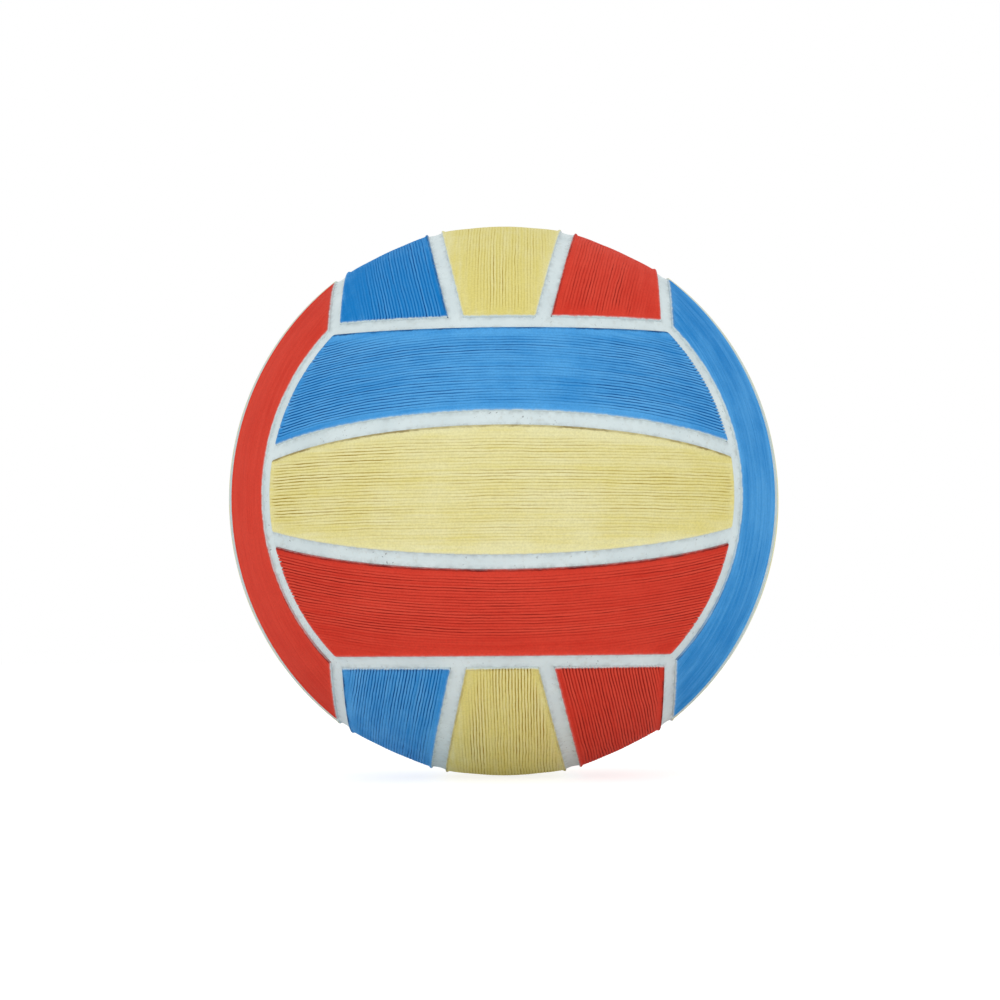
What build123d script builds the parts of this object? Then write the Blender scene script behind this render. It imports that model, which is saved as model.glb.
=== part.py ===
"""An 18-panel rubber water polo ball, size 3, modelled layer by layer in millimetres.

Frame: origin at the centre of the ball, +Z up, the front face towards -Y, the valve at +Y.
From the inside out: bladder with its needle valve, nylon winding, white rubber carcass, 18 rubber panels.

Each of the six faces has three strips that run one way. A face's long sides are small circles and its
short sides are its neighbours' long sides, so that eight corners meet where a cube's corners would be.
"""

import math
import os

from build123d import *

# The ball and the layers of its wall
BALL_DIAMETER = 188.0
PANEL_THICKNESS = 1.4
CARCASS_THICKNESS = 0.5
WINDING_THICKNESS = 0.45
BLADDER_THICKNESS = 0.6
GLUE_LINE = 0.02

# The panels and the white channels between them
STRIP_SEAM_ANGLE = 14.0
CHANNEL_WIDTH = 4.6
CHANNEL_DEPTH = 0.5
CHANNEL_EDGE_DEPTH = 0.2
CHANNEL_SLOPE = 1.9
SLOPE_ROOT = 0.1
BEAD_WIDTH = 1.1
BEAD_HEIGHT = 0.5
BEAD_ROUNDING = 0.35
PANEL_CORNER_RADIUS = 0.9

# The needle valve, on the +Y axis
NECK_RADIUS = 4.5
NECK_RECESS = 0.3
NECK_CLEARANCE = 0.15
FLANGE_RADIUS = 14.0
FLANGE_THICKNESS = 1.2
BARREL_RADIUS = 6.5
BARREL_LENGTH = 12.0
BARREL_CHAMFER = 1.0
SOCKET_RADIUS = 2.8
COLLAR_RADIUS = 4.0
COLLAR_DEPTH = 5.0
COLLAR_HEIGHT = 2.4
THROAT_RADIUS = 2.0
THROAT_LENGTH = 3.0
PLUG_CLEARANCE = 0.03
PLUG_RECESS = 0.4
PLUG_TAIL = 2.5
NEEDLE_RADIUS = 1.1
NEEDLE_DEPTH = 9.0
NEEDLE_FUNNEL = 0.7
SLIT_WIDTH = 0.2
SLIT_LENGTH = 2.4
SLIT_DEPTH = 1.5

# What follows from the sizes above
BALL_RADIUS = BALL_DIAMETER / 2
PANEL_BACK = BALL_RADIUS - PANEL_THICKNESS
CARCASS_BED = PANEL_BACK - GLUE_LINE
CARCASS_INSIDE = CARCASS_BED - CARCASS_THICKNESS
WINDING_OUTSIDE = CARCASS_INSIDE - GLUE_LINE
WINDING_INSIDE = WINDING_OUTSIDE - WINDING_THICKNESS
BLADDER_OUTSIDE = WINDING_INSIDE - GLUE_LINE
BLADDER_INSIDE = BLADDER_OUTSIDE - BLADDER_THICKNESS
CHANNEL_FLOOR = BALL_RADIUS - CHANNEL_DEPTH
CHANNEL_EDGE = BALL_RADIUS - CHANNEL_EDGE_DEPTH
BEAD_TOP = BALL_RADIUS + BEAD_HEIGHT
NECK_TOP = BALL_RADIUS - NECK_RECESS
FLANGE_TOP = BLADDER_INSIDE - GLUE_LINE
BARREL_BOTTOM = FLANGE_TOP - BARREL_LENGTH
THROAT_TOP = BARREL_BOTTOM + THROAT_LENGTH
COLLAR_TOP = NECK_TOP - COLLAR_DEPTH
COLLAR_BOTTOM = COLLAR_TOP - COLLAR_HEIGHT
PLUG_TOP = NECK_TOP - PLUG_RECESS
PLUG_BOTTOM = BARREL_BOTTOM - PLUG_TAIL

# The polar angle of a seam circle through a cube's corners, seen from the face that it surrounds
FACE_ANGLE = math.degrees(math.acos(1 / math.sqrt(3)))
# How far the cutting tools dip towards the centre, and their walls run past the layer that they cut
TOOL_DIP = BALL_DIAMETER / 20
WALL_OVERRUN = 0.25

CENTRE = Vector(0, 0, 0)
LEFT, RIGHT = Vector(-1, 0, 0), Vector(1, 0, 0)
FRONT, BACK = Vector(0, -1, 0), Vector(0, 1, 0)
DOWN, UP = Vector(0, 0, -1), Vector(0, 0, 1)

# Each face's outward direction, and the directions in which its two outer strips lie
FACES = {
    "front": (FRONT, {"upper": UP, "lower": DOWN}),
    "back": (BACK, {"upper": UP, "lower": DOWN}),
    "left": (LEFT, {"front": FRONT, "rear": BACK}),
    "right": (RIGHT, {"front": FRONT, "rear": BACK}),
    "top": (UP, {"left": LEFT, "right": RIGHT}),
    "bottom": (DOWN, {"left": LEFT, "right": RIGHT}),
}
VALVE_PANEL = "back_middle_panel"


def sphere_shell(inner_radius, outer_radius):
    """The layer between two radii."""
    return Sphere(outer_radius) - Sphere(inner_radius)


def arc_angle(length):
    """The angle at the ball's centre of a length along its surface, in degrees."""
    return math.degrees(length / BALL_RADIUS)


def at_angle(radius, polar_angle):
    """A point of a dome's outline, from its radius and its angle off the dome's axis."""
    angle = math.radians(polar_angle)
    return Vector(radius * math.sin(angle), radius * math.cos(angle))


def at_height(radius, height):
    """A point of a dome's outline, from its radius and its height along the dome's axis."""
    return Vector(math.sqrt(radius**2 - height**2), height)


def dome(axis, low, high):
    """All space about an axis within a wall through two points of an outline, as a cutting tool."""
    run = (high - low) * WALL_OVERRUN
    foot, brow = low - run, high + run
    outline = [(0, foot.Y - TOOL_DIP), foot, brow, (brow.X, BALL_DIAMETER), (0, BALL_DIAMETER)]
    profile = make_face(Polyline(*outline, close=True))
    return Plane(CENTRE, z_dir=axis) * revolve(Plane.XZ * profile, Axis.Z)


def strip_seam_axis(side):
    """The axis of the great circle between the front face's middle strip and an outer one."""
    lean = math.radians(STRIP_SEAM_ANGLE)
    return BACK * math.sin(lean) + side * math.cos(lean)


def cut_to_length(strip, inner_radius, outer_radius, inset, flare):
    """A strip of the front face, cut off at the face's short sides.

    The strip's edge is set in from the seam's centre line, and by less at its foot if it flares.
    """
    foot = at_angle(inner_radius, FACE_ANGLE - arc_angle(inset - flare))
    crest = at_angle(outer_radius, FACE_ANGLE - arc_angle(inset))
    return (strip & dome(FRONT, foot, crest)).solid()


def outer_strip(inner_radius, outer_radius, inset, flare=0):
    """The front face's upper strip."""
    strip = sphere_shell(inner_radius, outer_radius)
    foot = at_angle(inner_radius, FACE_ANGLE + arc_angle(inset - flare))
    crest = at_angle(outer_radius, FACE_ANGLE + arc_angle(inset))
    strip -= dome(UP, foot, crest)
    strip &= dome(strip_seam_axis(UP), at_height(inner_radius, inset - flare), at_height(outer_radius, inset))
    return cut_to_length(strip, inner_radius, outer_radius, inset, flare)


def middle_strip(inner_radius, outer_radius, inset, flare=0):
    """The front face's middle strip."""
    strip = sphere_shell(inner_radius, outer_radius)
    for side in (UP, DOWN):
        foot = at_height(inner_radius, flare - inset)
        strip -= dome(strip_seam_axis(side), foot, at_height(outer_radius, -inset))
    return cut_to_length(strip, inner_radius, outer_radius, inset, flare)


def radii(edge):
    """The distances from the ball's centre of an edge's ends."""
    return [vertex.center().length for vertex in edge.vertices()]


def rounded_strip(strip, inner_radius, outer_radius, inset, corner_radius):
    """A strip with its four corners rounded."""
    blank = strip(inner_radius, outer_radius, inset)
    depth = outer_radius - inner_radius
    corners = [edge for edge in blank.edges() if max(radii(edge)) - min(radii(edge)) > depth / 2]
    return blank.fillet(corner_radius, corners)


def rubber_panel(strip):
    """One moulded panel: a rounded strip with a bead standing up along its edge."""
    blank = rounded_strip(strip, PANEL_BACK, BEAD_TOP, CHANNEL_WIDTH / 2, PANEL_CORNER_RADIUS)
    hollow = strip(BALL_RADIUS, BEAD_TOP + BEAD_HEIGHT, CHANNEL_WIDTH / 2 + BEAD_WIDTH)
    panel = (blank - hollow).solid()
    crest = [edge for edge in panel.edges() if min(radii(edge)) > BEAD_TOP - BEAD_HEIGHT / 2]
    return panel.fillet(BEAD_ROUNDING, crest)


def panel_bed(strip):
    """The pocket in the carcass that a panel is bonded into."""
    inset = CHANNEL_WIDTH / 2 - GLUE_LINE
    return rounded_strip(strip, CARCASS_BED, BEAD_TOP, inset, PANEL_CORNER_RADIUS + GLUE_LINE)


def channel_slope(strip):
    """The white rubber that slopes from the floor of the channels up to a panel's edge."""
    return strip(CHANNEL_FLOOR - SLOPE_ROOT, CHANNEL_EDGE, CHANNEL_WIDTH / 2, CHANNEL_SLOPE)


def turned_to(face, side):
    """The turn that takes the front face to another one, and its upper strip to the given side."""
    return Plane(CENTRE, x_dir=side.cross(face), z_dir=side)


def valve_piece(outline):
    """A turned piece from its radii and its distances from the ball's centre, on the +Y axis."""
    profile = make_face(Polyline(*outline, close=True))
    return Plane(CENTRE, z_dir=BACK) * revolve(Plane.XZ * profile, Axis.Z)


def valve_bar(radius, low, high):
    """A round bar along the valve's axis between two distances from the ball's centre."""
    bar = Cylinder(radius, high - low, align=(Align.CENTER, Align.CENTER, Align.MIN))
    return Plane(BACK * low, z_dir=BACK) * bar


def valve_housing():
    """The butyl valve seat: a flange under the bladder, a neck through the wall and a socketed barrel."""
    outline = [
        (SOCKET_RADIUS, NECK_TOP),
        (NECK_RADIUS, NECK_TOP),
        (NECK_RADIUS, FLANGE_TOP - FLANGE_THICKNESS / 2),
        (BARREL_RADIUS, FLANGE_TOP - FLANGE_THICKNESS / 2),
        (BARREL_RADIUS, BARREL_BOTTOM + BARREL_CHAMFER),
        (BARREL_RADIUS - BARREL_CHAMFER, BARREL_BOTTOM),
        (THROAT_RADIUS, BARREL_BOTTOM),
        (THROAT_RADIUS, THROAT_TOP),
        (SOCKET_RADIUS, THROAT_TOP),
        (SOCKET_RADIUS, COLLAR_BOTTOM),
        (COLLAR_RADIUS, COLLAR_BOTTOM),
        (COLLAR_RADIUS, COLLAR_TOP),
        (SOCKET_RADIUS, COLLAR_TOP),
    ]
    body = valve_piece(outline)
    flange = sphere_shell(FLANGE_TOP - FLANGE_THICKNESS, FLANGE_TOP)
    flange &= valve_bar(FLANGE_RADIUS, 0, BALL_DIAMETER)
    flange -= valve_bar(NECK_RADIUS, 0, BALL_DIAMETER)
    return (body + flange).solid()


def valve_plug():
    """The self-closing plug: a collared stem with a funnel and a guide bore for the inflating needle."""
    gap = PLUG_CLEARANCE
    outline = [
        (0, PLUG_TOP),
        (SOCKET_RADIUS - gap, PLUG_TOP),
        (SOCKET_RADIUS - gap, COLLAR_TOP - gap),
        (COLLAR_RADIUS - gap, COLLAR_TOP - gap),
        (COLLAR_RADIUS - gap, COLLAR_BOTTOM + gap),
        (SOCKET_RADIUS - gap, COLLAR_BOTTOM + gap),
        (SOCKET_RADIUS - gap, THROAT_TOP + gap),
        (THROAT_RADIUS - gap, THROAT_TOP + gap),
        (THROAT_RADIUS - gap, PLUG_BOTTOM),
        (0, PLUG_BOTTOM),
    ]
    plug = valve_piece(outline)
    guide = [
        (0, PLUG_TOP),
        (NEEDLE_RADIUS + NEEDLE_FUNNEL, PLUG_TOP),
        (NEEDLE_RADIUS, PLUG_TOP - NEEDLE_FUNNEL),
        (NEEDLE_RADIUS, PLUG_TOP - NEEDLE_DEPTH),
        (0, PLUG_TOP - NEEDLE_DEPTH - NEEDLE_RADIUS),
    ]
    plug -= valve_piece(guide)
    slit = Box(SLIT_LENGTH, SLIT_WIDTH, 2 * SLIT_DEPTH)
    plug -= Plane(BACK * PLUG_BOTTOM, z_dir=BACK) * slit
    return plug.solid()


if __name__ == "__main__":
    os.makedirs("parts", exist_ok=True)
    valve_hole = valve_bar(NECK_RADIUS + NECK_CLEARANCE, 0, BALL_DIAMETER)

    pieces = {}
    carcass = sphere_shell(CARCASS_INSIDE, CHANNEL_FLOOR) - valve_hole
    for strip, which in ((outer_strip, "outer"), (middle_strip, "middle")):
        panel, bed, slope = rubber_panel(strip), panel_bed(strip), channel_slope(strip)
        for face_name, (face, sides) in FACES.items():
            places = list(sides.items())
            if which == "middle":
                places = [("middle", places[0][1])]
            for side_name, side in places:
                turn = turned_to(face, side)
                pieces[f"{face_name}_{side_name}_panel"] = turn * panel
                carcass = carcass + turn * slope - turn * bed
    pieces[VALVE_PANEL] = (pieces[VALVE_PANEL] - valve_hole).solid()

    pieces["rubber_carcass"] = carcass.solid()
    pieces["nylon_winding"] = (sphere_shell(WINDING_INSIDE, WINDING_OUTSIDE) - valve_hole).solid()
    pieces["bladder"] = (sphere_shell(BLADDER_INSIDE, BLADDER_OUTSIDE) - valve_hole).solid()
    pieces["valve_housing"] = valve_housing()
    pieces["valve_plug"] = valve_plug()

    for name, piece in pieces.items():
        export_step(piece, f"parts/{name}.step")
        print(f"{name}: {piece.volume / 1000:.2f} cm3")
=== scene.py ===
import math

import bpy
import numpy as np
from mathutils import Matrix, Vector


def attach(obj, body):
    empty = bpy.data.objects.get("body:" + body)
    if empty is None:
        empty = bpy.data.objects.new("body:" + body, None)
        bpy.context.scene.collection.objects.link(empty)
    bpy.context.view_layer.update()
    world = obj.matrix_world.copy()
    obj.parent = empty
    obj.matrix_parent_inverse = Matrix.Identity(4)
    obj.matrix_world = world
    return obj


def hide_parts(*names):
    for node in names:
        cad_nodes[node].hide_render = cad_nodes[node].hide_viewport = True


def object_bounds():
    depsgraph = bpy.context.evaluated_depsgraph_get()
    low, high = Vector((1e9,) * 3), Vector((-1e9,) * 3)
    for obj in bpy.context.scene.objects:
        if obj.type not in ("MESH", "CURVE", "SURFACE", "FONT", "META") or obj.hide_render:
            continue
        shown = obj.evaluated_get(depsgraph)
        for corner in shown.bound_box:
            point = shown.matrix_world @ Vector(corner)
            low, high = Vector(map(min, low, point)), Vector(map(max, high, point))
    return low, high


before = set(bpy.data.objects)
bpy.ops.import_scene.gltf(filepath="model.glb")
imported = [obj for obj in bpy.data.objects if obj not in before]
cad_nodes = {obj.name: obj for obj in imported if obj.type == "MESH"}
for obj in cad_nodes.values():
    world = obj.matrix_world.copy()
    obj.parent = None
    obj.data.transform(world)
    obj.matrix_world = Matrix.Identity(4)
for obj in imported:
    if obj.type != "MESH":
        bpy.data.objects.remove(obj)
cad_low, cad_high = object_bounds()
bpy.ops.object.select_all(action="DESELECT")

# Bladder
# A hollow butyl ball that holds the air, moulded in one piece and hidden inside the winding.
# Black rubber with a faint bloom of talc from the mould.

RUBBER_GRAIN = 2600.0                # grains to the metre in a moulded skin
RUBBER_GRAIN_DEPTH = 0.00006


def blank_finish(name):
    """A new material, with its shader and the piece's own coordinates."""
    finish = bpy.data.materials.new(name)
    finish.use_nodes = True
    tree = finish.node_tree
    shader = tree.nodes["Principled BSDF"]
    place = tree.nodes.new("ShaderNodeTexCoord").outputs["Object"]
    return finish, tree, shader, place


def node(tree, kind, inputs, **settings):
    """Adds a node, sets it, and plugs in or sets each named input."""
    made = tree.nodes.new(kind)
    for key, value in settings.items():
        setattr(made, key, value)
    for key, value in inputs.items():
        if isinstance(value, bpy.types.NodeSocket):
            tree.links.new(value, made.inputs[key])
        else:
            made.inputs[key].default_value = value
    return made


def noise(tree, place, scale, detail=3.0, rough=0.55):
    """Smooth random blotches; scale is in blotches to the metre."""
    inputs = {"Vector": place, "Scale": scale, "Detail": detail, "Roughness": rough}
    return node(tree, "ShaderNodeTexNoise", inputs).outputs["Fac"]


def spread(tree, value, low, high, to_low=0.0, to_high=1.0):
    """Stretches the part of a value between low and high, with soft ends."""
    inputs = {"Value": value, "From Min": low, "From Max": high, "To Min": to_low, "To Max": to_high}
    return node(tree, "ShaderNodeMapRange", inputs, interpolation_type="SMOOTHSTEP").outputs["Result"]


def sums(tree, operation, total, *values):
    """Arithmetic along a row of values, one after the other."""
    for value in values:
        total = node(tree, "ShaderNodeMath", {0: total, 1: value}, operation=operation).outputs[0]
    return total


def blend(tree, share, first, second, blend_type="MIX"):
    """One colour laid over another by a share from 0 to 1."""
    made = node(tree, "ShaderNodeMix", {0: share}, data_type="RGBA", blend_type=blend_type)
    for socket, value in ((made.inputs[6], first), (made.inputs[7], second)):
        if isinstance(value, bpy.types.NodeSocket):
            tree.links.new(value, socket)
        else:
            socket.default_value = value
    return made.outputs[2]


def paint(red, green, blue):
    """A screen colour from 0 to 255 as the shader wants it."""
    linear = []
    for part in (red, green, blue):
        share = part / 255
        linear.append(share / 12.92 if share <= 0.04045 else ((share + 0.055) / 1.055) ** 2.4)
    return (*linear, 1.0)


def finish_surface(tree, shader, colour, roughness, height, strength, depth):
    """Gives a shader its colour and roughness, and a fine relief of the given depth in metres."""
    relief = node(tree, "ShaderNodeBump", {"Height": height, "Strength": strength, "Distance": depth})
    tree.links.new(colour, shader.inputs["Base Color"])
    tree.links.new(roughness, shader.inputs["Roughness"])
    tree.links.new(relief.outputs[0], shader.inputs["Normal"])


def moulded_rubber(name, deep, pale, blotches, dullness):
    """A dark moulded rubber with a fine grain and a cloudy bloom, its blotches counted to the metre."""
    finish, tree, shader, place = blank_finish(name)
    cloud = spread(tree, noise(tree, place, blotches, detail=5.0), 0.35, 0.75)
    colour = blend(tree, cloud, deep, pale)
    roughness = spread(tree, cloud, 0.0, 1.0, dullness - 0.08, dullness + 0.1)
    grain = noise(tree, place, RUBBER_GRAIN, detail=2.0)
    finish_surface(tree, shader, colour, roughness, grain, strength=0.4, depth=RUBBER_GRAIN_DEPTH)
    return finish


def dress(name, finish):
    """Gives a CAD node its finish."""
    cad_nodes[name].data.materials.clear()
    cad_nodes[name].data.materials.append(finish)


butyl = moulded_rubber("bladder_butyl", deep=paint(26, 26, 28), pale=paint(58, 57, 56),
                       blotches=90.0, dullness=0.62)
dress("bladder", butyl)

# Nylon winding
# Thin nylon thread wound round the bladder in every direction, set in latex so that it keeps the ball round.
# Hidden under the carcass; its threads show as crossing lines.

THREAD_SCALE = 190.0                 # lays a thread about every 1.7 mm
THREAD_SLANTS = ((0.0, 0.0, 0.0), (0.9, 0.5, 0.0), (1.7, -0.6, 0.4))
THREAD_RELIEF = 0.0003
LATEX, NYLON = paint(168, 160, 142), paint(232, 228, 216)

winding, tree, shader, place = blank_finish("winding_nylon")
threads = []
for slant in THREAD_SLANTS:
    turned = node(tree, "ShaderNodeMapping", {"Vector": place, "Rotation": slant}).outputs[0]
    wave = {"Vector": turned, "Scale": THREAD_SCALE, "Distortion": 1.2, "Detail": 1.0}
    threads.append(node(tree, "ShaderNodeTexWave", wave, bands_direction="X").outputs["Fac"])
wound = sums(tree, "MAXIMUM", *threads)
colour = blend(tree, wound, LATEX, NYLON)
roughness = spread(tree, wound, 0.0, 1.0, 0.7, 0.42)
finish_surface(tree, shader, colour, roughness, wound, strength=0.6, depth=THREAD_RELIEF)
dress("nylon_winding", winding)

# Valve housing
# The thick black butyl seat of the valve, with a neck that comes out through the wall.
# It is moulded on its own and vulcanised to the bladder.

butyl = moulded_rubber("valve_butyl", deep=paint(30, 30, 32), pale=paint(54, 54, 55),
                       blotches=260.0, dullness=0.55)
dress("valve_housing", butyl)

# Valve plug
# A soft dark rubber plug, pushed into the housing and held there by its collar.
# The inflating needle goes through its bore.

soft_rubber = moulded_rubber("valve_plug_rubber", deep=paint(38, 38, 40), pale=paint(66, 65, 64),
                             blotches=420.0, dullness=0.48)
dress("valve_plug", soft_rubber)

# Rubber carcass
# The white rubber skin under the panels, vulcanised over the winding. It shows in the channels between the
# panels, where it is slightly hollow, greyed along the panels' walls by painted shade and some dirt, and
# speckled with dirt.

BALL_RADIUS = round(cad_high.z, 3)   # the CAD box, without the flats of its mesh
CORNER = 1 / math.sqrt(3)            # the faces' edges lie on planes this share of the radius from the centre
STRIP_SEAM = math.radians(14.0)      # the two seams of a face lean this far from its middle plane
FACE_AXES = ((0, 1, 2), (2, 0, 1), (1, 2, 0))      # of each pair of faces: along the strips, outwards, across
PANEL_THICKNESS = 0.0014
GLUE_LINE = 0.00002
BED_DEPTH = PANEL_THICKNESS + GLUE_LINE
CARCASS_SKIN = 0.0005                # what is left under a panel's bed
CARCASS_INSIDE = BALL_RADIUS - BED_DEPTH - CARCASS_SKIN
HALF_CHANNEL = 0.0023
# The channel's cross-section, from its middle to the wall of a bed.
CHANNEL_LINES = (0.0, 0.0007, 0.0013, 0.0018, 0.00215, 0.00233, 0.00245)
CHANNEL_DEPTHS = (0.0005, 0.00047, 0.0004, 0.00031, 0.00023, 0.0002, BED_DEPTH)
CUT_WIDTH = 0.006                    # only the skin this near a seam is cut along it
CUT_REACH = 0.009                    # and only where a channel is this near
VALVE_HOLE = 0.00465
DRILL_LENGTH = 0.02
DRILL_SIDES = 72
CUT_MERGE = 0.00001                  # points this near a cut are taken to lie on it
STRAY_EDGE = 0.000001                # shorter edges left by the drill are dissolved
CARCASS_CREASE = math.radians(38)    # sharper edges stay crisp
WALL_SHADE_AND_GRIME_START = 0.0008            # from a channel's middle, from where it greys towards the walls

CARCASS_WHITE, CARCASS_CLOUD = paint(218, 231, 233), paint(207, 221, 224)
# The last grey is painted shade, with some dirt, along the panels' walls.
STAIN, SPECK, WALL_SHADE_AND_GRIME = paint(178, 178, 164), paint(88, 94, 96), paint(136, 144, 146)


def points(piece):
    """The points of a piece's mesh, one to a row."""
    flat = np.zeros(len(piece.data.vertices) * 3, np.float32)
    piece.data.vertices.foreach_get("co", flat)
    return flat.reshape(-1, 3).astype(float)


def unit(rows):
    """Vectors, one to a row, brought to length 1."""
    return rows / np.linalg.norm(rows, axis=1)[:, None]


def pick(piece, chosen):
    """Selects some of a piece's points and goes into edit mode."""
    bpy.ops.object.mode_set(mode="OBJECT")
    piece.data.polygons.foreach_set("select", np.zeros(len(piece.data.polygons), bool))
    piece.data.edges.foreach_set("select", np.zeros(len(piece.data.edges), bool))
    piece.data.vertices.foreach_set("select", chosen)
    bpy.ops.object.mode_set(mode="EDIT")


def cut(normal, distance, trim):
    """Cuts what is selected along a plane, and trims off the part in front of it if asked."""
    bpy.ops.mesh.bisect(plane_co=normal * distance, plane_no=normal, clear_outer=trim, threshold=CUT_MERGE)


def cut_all(normal, turn, inset, trim):
    """Cuts all that shows along the plane of a seam, moved by an inset along the ball's skin."""
    bpy.ops.mesh.select_all(action="SELECT")
    cut(normal, BALL_RADIUS * math.cos(turn + inset / BALL_RADIUS), trim)


def mark(piece, name, values):
    """Writes a number on each of a piece's points, for its finish to read."""
    layer = piece.data.attributes.new(name, "FLOAT", "POINT")
    layer.data.foreach_set("value", values.astype(np.float32))


def read_mark(tree, name):
    """The number that mark wrote, as the finish sees it."""
    return node(tree, "ShaderNodeAttribute", {}, attribute_name=name).outputs["Fac"]


def angle_from(aim, normal):
    """The angle between each point's direction and a plane's normal."""
    return np.arccos(np.clip(aim @ np.array(normal), -1, 1))


def seam_gap(place):
    """How far each point lies from the nearest seam, along the ball's skin."""
    aim = np.abs(unit(place))
    gap = np.ones(len(place))
    for along, out, across in FACE_AXES:
        edge = np.abs(np.arcsin(aim[:, across]) - math.asin(CORNER))
        gap = np.where(aim[:, out] >= aim[:, along], np.minimum(gap, edge), gap)
        lean = aim[:, across] * math.cos(STRIP_SEAM) - aim[:, out] * math.sin(STRIP_SEAM)
        on_face = (aim[:, across] <= CORNER) & (aim[:, out] >= CORNER)
        gap = np.where(on_face, np.minimum(gap, np.abs(np.arcsin(lean))), gap)
    return gap * BALL_RADIUS


def drill_valve_hole(piece, y):
    """Cuts the hole that the valve's neck comes out through."""
    bpy.ops.object.select_all(action="DESELECT")
    bpy.ops.mesh.primitive_cylinder_add(vertices=DRILL_SIDES, radius=VALVE_HOLE, depth=DRILL_LENGTH,
                                        location=(0, y, 0), rotation=(math.pi / 2, 0, 0))
    drill = bpy.context.object
    bpy.context.view_layer.objects.active = piece
    hole = piece.modifiers.new("valve_hole", "BOOLEAN")
    hole.object = drill
    hole.solver = "EXACT"
    bpy.ops.object.modifier_apply(modifier="valve_hole")
    bpy.data.objects.remove(drill)


bpy.ops.mesh.primitive_ico_sphere_add(subdivisions=6, radius=BALL_RADIUS)
carcass = bpy.context.object
carcass.name = "channel_carcass"
seams = []
for along, out, across in FACE_AXES:
    for sign in (-1, 1):
        edge, lean = Vector((0, 0, 0)), Vector((0, 0, 0))
        edge[across] = sign
        lean[out], lean[across] = sign * math.sin(STRIP_SEAM), math.cos(STRIP_SEAM)
        seams += [(edge, math.acos(CORNER)), (lean, math.pi / 2)]
for normal, turn in seams:
    bpy.ops.object.mode_set(mode="OBJECT")
    place = points(carcass)
    beside = np.abs(angle_from(place / BALL_RADIUS, normal) - turn) * BALL_RADIUS
    pick(carcass, (beside < CUT_WIDTH) & (seam_gap(place) < CUT_REACH))
    bpy.ops.mesh.hide(unselected=True)
    for line in CHANNEL_LINES + tuple(-line for line in CHANNEL_LINES[1:]):
        cut_all(normal, turn, line, trim=False)
    bpy.ops.mesh.reveal(select=False)
bpy.ops.object.mode_set(mode="OBJECT")
place = points(carcass)
skin = BALL_RADIUS - np.interp(seam_gap(place), CHANNEL_LINES, CHANNEL_DEPTHS)
place = unit(place) * skin[:, None]
carcass.data.vertices.foreach_set("co", place.astype(np.float32).ravel())
bpy.ops.object.select_all(action="DESELECT")
bpy.ops.mesh.primitive_ico_sphere_add(subdivisions=5, radius=CARCASS_INSIDE)
bpy.context.object.data.flip_normals()
carcass.select_set(True)
bpy.context.view_layer.objects.active = carcass
bpy.ops.object.join()
drill_valve_hole(carcass, BALL_RADIUS)
bpy.ops.object.mode_set(mode="EDIT")
bpy.ops.mesh.select_all(action="SELECT")
bpy.ops.mesh.dissolve_degenerate(threshold=STRAY_EDGE)
bpy.ops.object.mode_set(mode="OBJECT")
carcass.select_set(True)
bpy.ops.object.shade_smooth_by_angle(angle=CARCASS_CREASE)
mark(carcass, "wall", np.interp(seam_gap(points(carcass)), (WALL_SHADE_AND_GRIME_START, HALF_CHANNEL), (0.0, 1.0)))

white, tree, shader, place = blank_finish("carcass_white")
cloud = spread(tree, noise(tree, place, 55.0, detail=5.0), 0.3, 0.75)
patches = spread(tree, noise(tree, place, 38.0, detail=2.0), 0.4, 0.7, 0.25, 1.0)
stains = spread(tree, noise(tree, place, 520.0, detail=4.0, rough=0.6), 0.5, 0.75, 0.0, 0.4)
specks = spread(tree, noise(tree, place, 1000.0, detail=2.0, rough=0.4), 0.69, 0.75)
ragged = spread(tree, noise(tree, place, 420.0, detail=4.0), 0.35, 0.7)
colour = blend(tree, cloud, CARCASS_WHITE, CARCASS_CLOUD)
colour = blend(tree, sums(tree, "MULTIPLY", stains, patches), colour, STAIN)
colour = blend(tree, sums(tree, "MULTIPLY", specks, patches, 0.7), colour, SPECK)
# Painted shade, with some dirt, greys the channel towards the panels' walls.
colour = blend(tree, sums(tree, "MULTIPLY", read_mark(tree, "wall"), ragged, 0.45), colour, WALL_SHADE_AND_GRIME)
roughness = spread(tree, cloud, 0.0, 1.0, 0.55, 0.7)
pitted = sums(tree, "ADD", noise(tree, place, 1800.0), sums(tree, "MULTIPLY", specks, -0.8))
finish_surface(tree, shader, colour, roughness, pitted, strength=0.35, depth=0.0001)
carcass.data.materials.append(white)
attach(carcass, "root")
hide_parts("rubber_carcass")

# Panels
# Eighteen moulded rubber strips, three on each of six faces, glued into beds in the carcass. Each has a
# raised lip round its border, is slightly dished, and is grooved along its length with fine uneven ribs.

CORNER_ROUNDING = 0.0009
CORNER_REACH = 0.007                 # only the skin this near a corner is cut to round it
CORNER_CUTS = (0.25, 0.5, 0.75)
ROWS_TO_RIB = 4                      # a valley, a flank, a crown and a flank
ROWS_ROUND = 2360                    # mesh rows in a full turn of the ball, which makes a rib 1.0 mm wide
COLUMNS = 120
HALF_LENGTH = math.radians(54.0)
RIB_STEP = 2 * math.pi * BALL_RADIUS / ROWS_ROUND * ROWS_TO_RIB
LIP_PLACES = (0.0, 0.00012, 0.0003, 0.0005, 0.0007, 0.0009, 0.0011, 0.0014)
LIP_HEIGHTS = (0.00010, 0.00034, 0.00046, 0.0005, 0.00046, 0.0003, 0.00012, 0.0)
LIP_CREST, LIP_CREST_WIDTH = 0.0006, 0.0003        # where the lip is scuffed
LIP_WIDTH = 0.0012                   # ribs start, and the border's dark line of dirt and painted shade ends, this far in
LIP_NOTCH = 0.8                      # share of the lip that a groove runs through
DISH = 0.00035
DISH_START, DISH_END = 0.001, 0.011
GROOVE_DEPTH = 0.00015
GROOVE_SHARPNESS = 1.6
DEEPEST_PRESS = 1.4
RIB_VARIATION = 0.26                 # how much the ribs differ in depth
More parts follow.
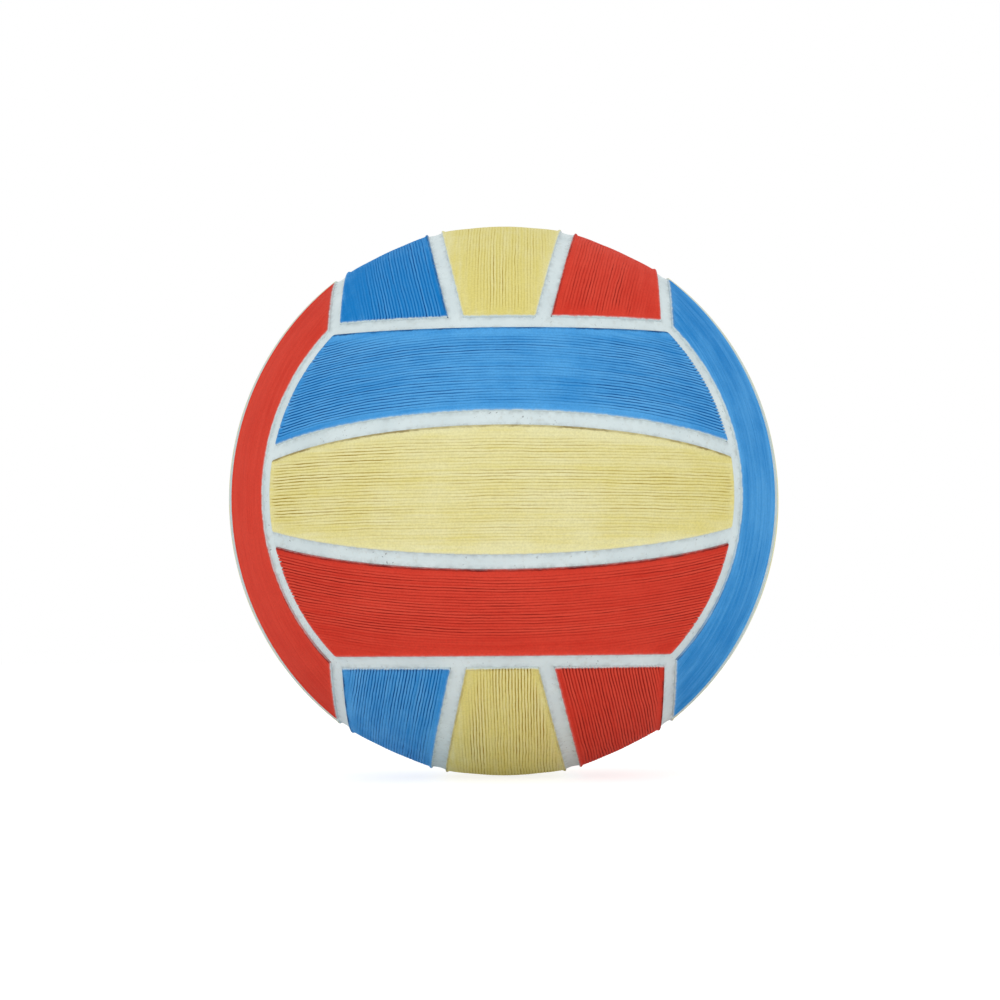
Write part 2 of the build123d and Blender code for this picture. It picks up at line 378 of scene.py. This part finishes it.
RIB_WEAKEST, RIB_STRONGEST = 0.4, 1.6
RUNS_ALONG = 20                      # how often a rib's depth changes along it
PATCHES_ACROSS, PATCHES_ALONG = 4, 8
FADE_SHARE = 0.3                     # a rib starts to fade in at this share of its margin from the end
FADE_EARLY, FADE_LATE = 0.0006, 0.0001
BEND, WOBBLE, LEAN = 0.2, 0.1, 0.05  # in ribs: how far they stray together, stray alone, and lean
RIBS_TO_BEND, BENDS_ALONG, WOBBLES_ALONG = 4, 12, 48
STRAY_START, STRAY_FULL = 0.0004, 0.003
END_RIM_SHADE = 0.3                      # share of the painted shade and dirt along the seam that lies at a strip's ends
ENDS_RICHER, BORDER_PALER, TONE_VARIATION = 0.35, 0.22, 0.15
TONES_ALONG = 8
PALE_BORDER, PALE_BORDER_END = 0.001, 0.005
VALVE_BOSS, VALVE_BOSS_END = 0.0085, 0.0115        # the panel is smooth round the valve, then the ribs start
STREAK_LENGTH, STREAK_WIDTH = 0.016, 0.0008
STREAKS_APART = 3.7                  # from one panel's streaks to the next one's, so that none repeat
PANEL_CREASE = math.radians(75)
CHALK_AND_HIGHLIGHT = paint(206, 220, 222)         # the carcass's white, rubbed over the panels' rims, and a painted highlight on the rims that face down

channel_turn = HALF_CHANNEL / BALL_RADIUS
upper_seam = Vector((0, math.sin(STRIP_SEAM), math.cos(STRIP_SEAM)))
lower_seam = Vector((0, math.sin(STRIP_SEAM), -math.cos(STRIP_SEAM)))
ends = (Vector((0, 1, 0)), math.pi - math.acos(CORNER) + channel_turn)
long_side = (Vector((0, 0, 1)), math.acos(CORNER) + channel_turn)
seam_turn = math.pi / 2 + channel_turn
# Each strip of the front face: the tilt of its ribs, its lowest and highest mesh row, and its borders.
STRIPS = {
    "middle": (0.0, math.radians(-12.7), math.radians(12.7),
               (ends, (upper_seam, seam_turn), (lower_seam, seam_turn))),
    "outer": (STRIP_SEAM, math.radians(1.3), math.radians(25.0),
              (ends, (-upper_seam, seam_turn), long_side)),
}


def round_corner(strip, first, second, sign):
    """Rounds the corner where two borders meet, on the left or the right, with a few small cuts."""
    (normal_a, turn_a), (normal_b, turn_b) = first, second
    level = np.array([[normal_a.y, normal_a.z], [normal_b.y, normal_b.z]])
    y, z = np.linalg.solve(level, [math.cos(turn_a), math.cos(turn_b)])
    tip = Vector((sign * math.sqrt(1 - y * y - z * z), y, z))
    out_a = (normal_a - tip * normal_a.dot(tip)).normalized()
    out_b = (normal_b - tip * normal_b.dot(tip)).normalized()
    pull = CORNER_ROUNDING / (1 + out_a.dot(out_b))
    centre = tip * BALL_RADIUS - (out_a + out_b) * pull
    for share in CORNER_CUTS:
        bpy.ops.object.mode_set(mode="OBJECT")
        from_tip = np.linalg.norm(points(strip) - np.array(tip) * BALL_RADIUS, axis=1)
        pick(strip, from_tip < CORNER_REACH)
        out = (out_a * (1 - share) + out_b * share).normalized()
        cut(out, out.dot(centre) + CORNER_ROUNDING, trim=True)


def apply_turn():
    """Puts the active piece's turn into its mesh."""
    bpy.ops.object.transform_apply(location=False, rotation=True, scale=False)


def strip_blank(name, tilt, low, high, borders):
    """A panel without its ribs: a strip of the ball's skin, mesh rows along it, trimmed and given walls."""
    axis = Vector((0, math.sin(tilt), math.cos(tilt)))
    bpy.ops.object.select_all(action="DESELECT")
    bpy.ops.mesh.primitive_circle_add(vertices=ROWS_ROUND, radius=BALL_RADIUS, rotation=(0, math.pi / 2, 0))
    strip = bpy.context.object
    strip.name = name
    apply_turn()
    strip.rotation_euler = (-tilt, 0, 0)
    apply_turn()
    place = points(strip)
    rise = np.arcsin(np.clip(place @ np.array(axis) / BALL_RADIUS, -1, 1))
    pick(strip, (place[:, 1] > 0) | (rise < low) | (rise > high))
    bpy.ops.mesh.delete(type="VERT")
    bpy.ops.object.mode_set(mode="OBJECT")
    strip.matrix_world = Matrix.Rotation(HALF_LENGTH, 4, axis)
    apply_turn()
    bpy.ops.object.mode_set(mode="EDIT")
    bpy.ops.mesh.select_all(action="SELECT")
    bpy.ops.mesh.spin(steps=COLUMNS, angle=2 * HALF_LENGTH, center=(0, 0, 0), axis=axis)
    for normal, turn in borders:
        cut_all(normal, turn, 0.0, trim=True)
    for long_border in borders[1:]:
        for sign in (-1, 1):
            round_corner(strip, borders[0], long_border, sign)
    for normal, turn in borders:
        for inset in LIP_PLACES[1:]:
            cut_all(normal, turn, inset, trim=False)
    bpy.ops.mesh.select_all(action="SELECT")
    bpy.ops.mesh.normals_make_consistent(inside=False)
    bpy.ops.object.mode_set(mode="OBJECT")
    face = strip.data.polygons[0]
    if face.normal.dot(face.center) < 0:
        strip.data.flip_normals()
    wall = strip.modifiers.new("wall", "SOLIDIFY")
    wall.thickness = PANEL_THICKNESS
    wall.offset = -1
    bpy.ops.object.modifier_apply(modifier="wall")
    return strip


def soft_step(value, low, high):
    """0 below low, 1 above high, and smooth between."""
    share = np.clip((value - low) / (high - low), 0, 1)
    return share * share * (3 - 2 * share)


def drift(random, low, high, row, rows, share, columns):
    """Random values that change smoothly from row to row, and so many times along a strip."""
    table = random.uniform(low, high, (rows + 2, columns + 2))
    row = np.clip(row, 0, table.shape[0] - 1.001)
    column = np.clip(share * columns, 0, table.shape[1] - 1.001)
    i, j = row.astype(int), column.astype(int)
    a, b = soft_step(row - i, 0, 1), soft_step(column - j, 0, 1)
    near = table[i, j] * (1 - b) + table[i, j + 1] * b
    far = table[i + 1, j] * (1 - b) + table[i + 1, j + 1] * b
    return near * (1 - a) + far * a


def rim_inset(gaps):
    """How far each point lies in from the panel's rim, round its corners too."""
    nearest, second = np.sort(gaps, axis=0)[:2]
    rounded = CORNER_ROUNDING - np.hypot(CORNER_ROUNDING - nearest, CORNER_ROUNDING - second)
    return np.where(second < CORNER_ROUNDING, np.clip(rounded, 0, None), nearest)


def painted_rim_shade(aim, gaps, borders, turned):
    """How much painted shade the nearest border gets: most where it faces up on the ball, less at the strip's
    ends.
    """
    nearest = np.argmin(gaps, axis=0)
    facing = np.array([np.array(normal) for normal, angle in borders])[nearest]
    facing = unit(facing - aim * np.sum(facing * aim, axis=1)[:, None])
    upward = facing @ np.array(turned)[2]
    return soft_step(upward, -0.15, 0.55) * np.where(nearest == 0, END_RIM_SHADE, 1.0)


def rib_panel(panel, which, seed, margins, strength, richness, turned, valve):
    """Raises the lip, dishes the panel and presses in its ribs, unevenly and differently on each panel."""
    tilt, low, high, borders = STRIPS[which]
    random = np.random.default_rng(seed)
    place = points(panel)
    radius = np.linalg.norm(place, axis=1)
    aim = place / radius[:, None]
    top = radius > BALL_RADIUS - PANEL_THICKNESS / 2
    gaps = np.array([BALL_RADIUS * (angle_from(aim, normal) - angle) for normal, angle in borders])
    gaps = np.clip(gaps, 0, None)
    inset = rim_inset(gaps)

    # Where a point lies: across the strip in ribs, and along it as a share of its length.
    axis = np.array((0, math.sin(tilt), math.cos(tilt)))
    ahead = np.array((0, -math.cos(tilt), math.sin(tilt)))
    across = np.arcsin(np.clip(aim @ axis, -1, 1)) * BALL_RADIUS / RIB_STEP
    along = np.arctan2(aim[:, 0], aim @ ahead) * BALL_RADIUS
    first_rib = math.floor(low * BALL_RADIUS / RIB_STEP) - 2
    ribs = math.ceil(high * BALL_RADIUS / RIB_STEP) + 2 - first_rib
    length = HALF_LENGTH * BALL_RADIUS
    share = (along + length) / (2 * length)
    row = across - first_rib
    rib = np.clip(np.rint(row).astype(int), 0, ribs - 1)
    phase = across - np.rint(across)

    # How hard a groove is pressed in: its own depth, changes along it, worn patches, and fading borders.
    own_depth = np.clip(random.normal(1.0, RIB_VARIATION, ribs), RIB_WEAKEST, RIB_STRONGEST)[rib]
    run = drift(random, 0.7, 1.25, rib.astype(float), ribs, share, RUNS_ALONG)
    patch_row = row / ribs * PATCHES_ACROSS
    patch = drift(random, 0.35, 1.25, patch_row, PATCHES_ACROSS, share, PATCHES_ALONG)
    teeth = random.uniform(0.35, 1.25, (2, ribs))
    end_margin = np.where(along < 0, margins[0] * teeth[0][rib], margins[1] * teeth[1][rib])
    end_fade = soft_step(gaps[0], FADE_SHARE * end_margin - FADE_EARLY, end_margin + FADE_LATE)
    side_fade = soft_step(gaps[1], LIP_WIDTH, margins[2]) * soft_step(gaps[2], LIP_WIDTH, margins[3])
    boss = np.ones(len(place))
    if valve:
        boss = soft_step(np.hypot(place[:, 0], place[:, 2]), VALVE_BOSS, VALVE_BOSS_END)
    towards_end = (2 * share - 1) ** 2
    end_force = np.where(share < 0.5, strength[0], strength[2])
    force = strength[1] + (end_force - strength[1]) * towards_end
    press = np.clip(own_depth * run * patch * end_fade * side_fade * boss * force, 0, DEEPEST_PRESS)
    groove = press * (0.5 + 0.5 * np.cos(2 * math.pi * phase)) ** GROOVE_SHARPNESS

    # The ribs wander sideways a little, together and each on its own, and their flanks lean.
    bend = drift(random, -1, 1, row / RIBS_TO_BEND, ribs // RIBS_TO_BEND + 1, share, BENDS_ALONG)
    wobble = drift(random, -1, 1, row, ribs + 1, share, WOBBLES_ALONG)
    aside = BEND * bend + WOBBLE * wobble - LEAN * np.sin(2 * math.pi * phase)
    aside *= RIB_STEP / BALL_RADIUS * soft_step(inset, STRAY_START, STRAY_FULL) * boss
    sideways = unit(axis - aim * (aim @ axis)[:, None])
    shifted = unit(aim + sideways * np.where(top, aside, 0.0)[:, None])
    height = np.interp(inset, LIP_PLACES, LIP_HEIGHTS) * (1 - LIP_NOTCH * np.clip(groove, 0, 1))
    height -= DISH * soft_step(inset, DISH_START, DISH_END) * boss
    height -= GROOVE_DEPTH * groove
    moved = np.where(top[:, None], shifted * (BALL_RADIUS + height)[:, None], place)
    panel.data.vertices.foreach_set("co", moved.astype(np.float32).ravel())

    # What the finish reads: the ribs, the border and its painted shade, and a tone that is richer at the
    # ends.
    ends_rich = ENDS_RICHER * towards_end
    border_pale = BORDER_PALER * (1 - soft_step(inset, PALE_BORDER, PALE_BORDER_END))
    uneven = drift(random, -TONE_VARIATION, TONE_VARIATION, row, ribs + 1, share, TONES_ALONG)
    mark(panel, "rib", across)
    mark(panel, "press", np.where(top, press, 0.0))
    mark(panel, "border", np.where(top, np.interp(inset, (0.0, LIP_WIDTH), (1.0, 0.0)), 1.0))
    mark(panel, "rim_shade", painted_rim_shade(aim, gaps, borders, turned))
    mark(panel, "crest", np.where(top, np.exp(-(((inset - LIP_CREST) / LIP_CREST_WIDTH) ** 2)), 0.0))
    mark(panel, "tone", richness + ends_rich - border_pale + uneven)
    apart = np.full(len(place), seed * STREAKS_APART)
    lay = np.column_stack((along / STREAK_LENGTH, across * RIB_STEP / STREAK_WIDTH, apart))
    layer = panel.data.attributes.new("lay", "FLOAT_VECTOR", "POINT")
    layer.data.foreach_set("vector", lay.astype(np.float32).ravel())
    panel.data.update()


def panel_rubber(name, pale, rich, deep, seam, wear_and_highlight):
    """Coloured rubber: streaks, dirt and painted shade along the ribs, painted highlights on their crowns,
    and round the border a dark line of dirt and painted shade or a white smear, partly a painted highlight.
    """
    finish, tree, shader, place = blank_finish(name)
    rib, press = read_mark(tree, "rib"), read_mark(tree, "press")
    border, rim_shade = read_mark(tree, "border"), read_mark(tree, "rim_shade")
    lay = node(tree, "ShaderNodeAttribute", {}, attribute_name="lay").outputs["Vector"]
    fine = node(tree, "ShaderNodeMapping", {"Vector": lay, "Scale": (4.0, 0.8, 1.0)}).outputs[0]
    drawn = node(tree, "ShaderNodeMapping", {"Vector": lay, "Scale": (0.6, 2.6, 1.0)}).outputs[0]

    # The rubber itself, streaky and cloudy.
    streaks = spread(tree, noise(tree, lay, 1.3, detail=2.0, rough=0.6), 0.25, 0.75, -0.09, 0.09)
    cloud = spread(tree, noise(tree, place, 70.0, detail=5.0, rough=0.65), 0.25, 0.75, -0.13, 0.13)
    shade = sums(tree, "ADD", streaks, cloud, read_mark(tree, "tone"))
    colour = blend(tree, spread(tree, shade, 0.0, 1.0), pale, rich)
    grain = noise(tree, place, 1500.0, detail=2.0, rough=0.6)
    colour = blend(tree, 1.0, colour, spread(tree, grain, 0.25, 0.75, 0.92, 1.06), "MULTIPLY")

    # Painted highlights on the crowns, and broken lines of dirt and painted shade in the grooves.
    off_groove = sums(tree, "SUBTRACT", rib, sums(tree, "ROUND", rib, 0.0))
    off_groove = sums(tree, "ABSOLUTE", off_groove, 0.0)
    width = spread(tree, noise(tree, fine, 0.6, detail=2.0), 0.3, 0.7, 0.15, 0.32)
    line = spread(tree, off_groove, 0.02, width, 1.0, 0.0)
    breaks = spread(tree, noise(tree, fine, 1.0, detail=2.0, rough=0.6), 0.3, 0.6, 0.6, 1.0)
    groove_dirt_and_shade = sums(tree, "MULTIPLY", line, press, breaks)
    # Painted highlight: the crowns of the ribs are lightened as if they caught the light.
    crown_highlight = sums(tree, "MULTIPLY", spread(tree, off_groove, 0.22, 0.42, 0.0, 0.38), press)
    colour = blend(tree, crown_highlight, colour, wear_and_highlight)
    colour = blend(tree, groove_dirt_and_shade, colour, deep)

    # The border: scuffs on the lip, patches of dirt with painted shade along the seam where it faces up, and
    # chalky white with a painted highlight on the sides that face down.
    scuffs = spread(tree, noise(tree, place, 300.0, detail=4.0), 0.45, 0.75, 0.0, 0.3)
    colour = blend(tree, sums(tree, "MULTIPLY", read_mark(tree, "crest"), scuffs), colour, wear_and_highlight)
    ragged = spread(tree, noise(tree, place, 600.0), 0.3, 0.7, -0.08, 0.08)
    rough_border = sums(tree, "ADD", border, ragged)
    patches = spread(tree, noise(tree, place, 130.0), 0.35, 0.65, 0.4, 0.9)
    # A patchy dark line along the seam: dirt, with painted shade where the border faces up.
    seam_dirt_and_shade = sums(tree, "MULTIPLY", spread(tree, rough_border, 0.2, 0.5), rim_shade, patches)
    colour = blend(tree, seam_dirt_and_shade, colour, seam)
    # Chalky white over the rims, with a painted highlight where the border faces down.
    facing_down = spread(tree, rim_shade, 0.0, 0.6, 1.0, 0.0)
    chalk_and_highlight = sums(tree, "MULTIPLY", spread(tree, rough_border, 0.15, 1.0, 0.0, 0.22), facing_down)
    colour = blend(tree, chalk_and_highlight, colour, CHALK_AND_HIGHLIGHT)
    toothed = sums(tree, "ADD", rough_border, sums(tree, "MULTIPLY", groove_dirt_and_shade, 0.32))
    less_where_shaded = spread(tree, rim_shade, 0.0, 1.0, 1.0, 0.25)
    smear = sums(tree, "MULTIPLY", spread(tree, toothed, 0.68, 1.0), less_where_shaded)
    colour = blend(tree, smear, colour, CHALK_AND_HIGHLIGHT)

    roughness = spread(tree, shade, 0.0, 1.0, 0.76, 0.88)
    scratches = noise(tree, drawn, 1.0, detail=2.0)
    skin = sums(tree, "ADD", sums(tree, "MULTIPLY", grain, 0.45), sums(tree, "MULTIPLY", scratches, 0.55))
    finish_surface(tree, shader, colour, roughness, skin, strength=0.5, depth=0.00008)
    shader.inputs["Specular IOR Level"].default_value = 0.06
    return finish


RUBBERS = {
    "blue": panel_rubber("panel_blue", pale=paint(87, 168, 230), rich=paint(22, 124, 198),
                         deep=paint(14, 70, 134), seam=paint(20, 62, 112), wear_and_highlight=paint(112, 182, 234)),
    "yellow": panel_rubber("panel_yellow", pale=paint(233, 228, 176), rich=paint(223, 211, 126),
                           deep=paint(156, 124, 26), seam=paint(138, 120, 72), wear_and_highlight=paint(242, 236, 184)),
    "red": panel_rubber("panel_red", pale=paint(220, 70, 53), rich=paint(203, 52, 38),
                        deep=paint(134, 28, 22), seam=paint(96, 24, 26), wear_and_highlight=paint(228, 94, 74)),
}
FRONT, BACK, LEFT = Vector((0, -1, 0)), Vector((0, 1, 0)), Vector((-1, 0, 0))
RIGHT, UP, DOWN = Vector((1, 0, 0)), Vector((0, 0, 1)), Vector((0, 0, -1))
MILLIMETRES = 1000                   # to the metre
FIRST_SEED = 100
# Each panel: its face, the side it is on, its strip, its colour, how far its ribs stop from its two ends and
# its two long sides, in millimetres, how deep they are at one end, half way and at the other end, and how
# rich its colour is.
PANELS = {
    "front_upper": (FRONT, UP, "outer", "blue", (3.0, 0.5, 4.5, 6.0), (1.75, 1.0, 1.8), 0.42),
    "front_middle": (FRONT, UP, "middle", "yellow", (5.0, 4.5, 6.0, 9.0), (2.2, 0.55, 0.9), 0.43),
    "front_lower": (FRONT, DOWN, "outer", "red", (1.5, 1.5, 4.0, 13.0), (1.35, 0.8, 1.4), 0.48),
    "back_upper": (BACK, UP, "outer", "blue", (3.0, 1.0, 4.0, 4.0), (1.1, 0.7, 1.4), 0.4),
    "back_middle": (BACK, UP, "middle", "yellow", (2.0, 1.0, 4.0, 4.0), (1.2, 0.6, 1.0), 0.4),
    "back_lower": (BACK, DOWN, "outer", "red", (1.0, 2.0, 4.0, 4.0), (1.5, 0.75, 1.2), 0.4),
    "left_front": (LEFT, FRONT, "outer", "red", (3.0, 3.0, 5.0, 5.0), (0.25, 0.15, 0.25), 0.36),
    "left_middle": (LEFT, FRONT, "middle", "yellow", (3.0, 1.5, 4.0, 4.0), (0.9, 0.6, 1.2), 0.4),
    "left_rear": (LEFT, BACK, "outer", "blue", (0.0, 2.0, 4.0, 4.0), (1.2, 0.65, 1.1), 0.4),
    "right_front": (RIGHT, FRONT, "outer", "blue", (3.0, 3.0, 5.0, 5.0), (0.25, 0.15, 0.25), 0.45),
    "right_middle": (RIGHT, FRONT, "middle", "yellow", (1.5, 3.0, 4.0, 4.0), (1.2, 0.6, 0.9), 0.4),
    "right_rear": (RIGHT, BACK, "outer", "red", (2.5, 0.0, 4.0, 4.0), (1.1, 0.7, 1.3), 0.4),
    "top_left": (UP, LEFT, "outer", "blue", (0.5, 2.0, 3.0, 16.0), (0.9, 0.55, 1.0), 0.85),
    "top_middle": (UP, LEFT, "middle", "yellow", (6.0, 2.0, 12.0, 5.0), (0.75, 0.36, 0.5), 0.65),
    "top_right": (UP, RIGHT, "outer", "red", (1.5, 9.0, 4.0, 15.0), (0.4, 0.4, 1.0), 0.35),
    "bottom_left": (DOWN, LEFT, "outer", "blue", (2.0, 0.0, 4.0, 5.0), (1.6, 1.0, 1.9), 0.45),
    "bottom_middle": (DOWN, LEFT, "middle", "yellow", (2.0, 0.5, 11.0, 4.0), (1.7, 1.1, 2.2), 0.68),
    "bottom_right": (DOWN, RIGHT, "outer", "red", (0.0, 2.0, 3.0, 4.0), (2.4, 1.2, 1.9), 0.5),
}
blanks = {which: strip_blank(which + "_strip", *STRIPS[which]) for which in STRIPS}
for number, (name, (face, side, which, colour, margins, strength, richness)) in enumerate(PANELS.items()):
    panel = bpy.data.objects.new("ribbed_" + name, blanks[which].data.copy())
    bpy.context.scene.collection.objects.link(panel)
    turn = Matrix((side.cross(face), -face, side)).transposed()
    valve = name == "back_middle"
    if valve:
        drill_valve_hole(panel, -BALL_RADIUS)
    margins = [margin / MILLIMETRES for margin in margins]
    rib_panel(panel, which, FIRST_SEED + number, margins, strength, richness, turn, valve)
    panel.data.transform(turn.to_4x4())
    bpy.ops.object.select_all(action="DESELECT")
    panel.select_set(True)
    bpy.context.view_layer.objects.active = panel
    bpy.ops.object.shade_smooth_by_angle(angle=PANEL_CREASE)
    panel.data.materials.append(RUBBERS[colour])
    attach(panel, "root")
    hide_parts(name + "_panel")
for blank in blanks.values():
    bpy.data.objects.remove(blank)

# Floor, light and camera
# A plain pale floor under soft studio light, seen from the photograph's place. The floor looks nearly white
# to the camera but keeps the ball's shadow, and lets some of the room's light up to the ball's underside.

FLOOR_SIZE = 8.0
FLOOR_TINT, FLOOR_PALE_TINT = paint(244, 244, 243), paint(248, 248, 247)
FLOOR_SEEN = paint(170, 170, 170)
FLOOR_GLOW = 0.8
FLOOR_LIGHT_THROUGH = 0.22
ROOM_LIGHT, ROOM_SEEN = 0.9, 1.0
# Each light: its place, its width, and its power in watts.
LIGHTS = {"key_light": ((-0.8, -1.7, 0.5), 0.9, 2.8), "fill_light": ((0.8, -1.6, 0.2), 0.5, 1.6)}
CAMERA_PLACE = (0.01462, -1.11482, -0.04393)
CAMERA_TURNS = (92.2563, 0.46996, 0.77003)         # in degrees
CAMERA_LENS, CAMERA_FILM = 117.3, 36.0             # in millimetres
CAMERA_SHIFT = (-0.004, 0.001)

bpy.ops.object.select_all(action="DESELECT")
bpy.ops.mesh.primitive_plane_add(size=FLOOR_SIZE, location=(0, 0, cad_low.z))
floor = bpy.context.object
floor.name = "floor"
bpy.ops.object.transform_apply(location=True, rotation=False, scale=False)
pale, tree, shader, place = blank_finish("floor_pale")
tint = spread(tree, noise(tree, place, 3.0), 0.3, 0.7)
tint = blend(tree, tint, FLOOR_TINT, FLOOR_PALE_TINT)
tree.links.new(tint, shader.inputs["Base Color"])
shader.inputs["Roughness"].default_value = 0.9
shader.inputs["Specular IOR Level"].default_value = 0.0
seen = node(tree, "ShaderNodeBsdfDiffuse", {"Color": FLOOR_SEEN})
glow = node(tree, "ShaderNodeEmission", {"Strength": FLOOR_GLOW})
bright = node(tree, "ShaderNodeAddShader", {0: seen.outputs[0], 1: glow.outputs[0]})
thin = node(tree, "ShaderNodeBsdfTransparent", {})
milky = node(tree, "ShaderNodeMixShader", {0: FLOOR_LIGHT_THROUGH, 1: shader.outputs[0], 2: thin.outputs[0]})
rays = node(tree, "ShaderNodeLightPath", {})
seen_ray = sums(tree, "MAXIMUM", rays.outputs["Is Camera Ray"], rays.outputs["Is Transmission Ray"])
lit = node(tree, "ShaderNodeMixShader", {0: seen_ray, 1: milky.outputs[0], 2: bright.outputs[0]})
tree.links.new(lit.outputs[0], tree.nodes["Material Output"].inputs["Surface"])
floor.data.materials.append(pale)

world = bpy.data.worlds.new("studio")
bpy.context.scene.world = world
world.use_nodes = True
tree = world.node_tree
room = tree.nodes["Background"]
room.inputs["Color"].default_value = (1, 1, 1, 1)
rays = node(tree, "ShaderNodeLightPath", {})
shown = sums(tree, "MAXIMUM", rays.outputs["Is Camera Ray"], rays.outputs["Is Glossy Ray"],
             rays.outputs["Is Transmission Ray"])
tree.links.new(spread(tree, shown, 0.0, 1.0, ROOM_LIGHT, ROOM_SEEN), room.inputs["Strength"])

for name, (place, size, power) in LIGHTS.items():
    bpy.ops.object.light_add(type="AREA", location=place)
    light = bpy.context.object
    light.name = name
    light.rotation_euler = (-Vector(place)).to_track_quat("-Z", "Y").to_euler()
    light.data.size = size
    light.data.energy = power

bpy.ops.object.camera_add(location=CAMERA_PLACE, rotation=[math.radians(turn) for turn in CAMERA_TURNS])
camera = bpy.context.object
camera.data.lens = CAMERA_LENS
camera.data.sensor_width = CAMERA_FILM
camera.data.shift_x, camera.data.shift_y = CAMERA_SHIFT
bpy.context.scene.camera = camera
bpy.context.scene.view_settings.view_transform = "Standard"
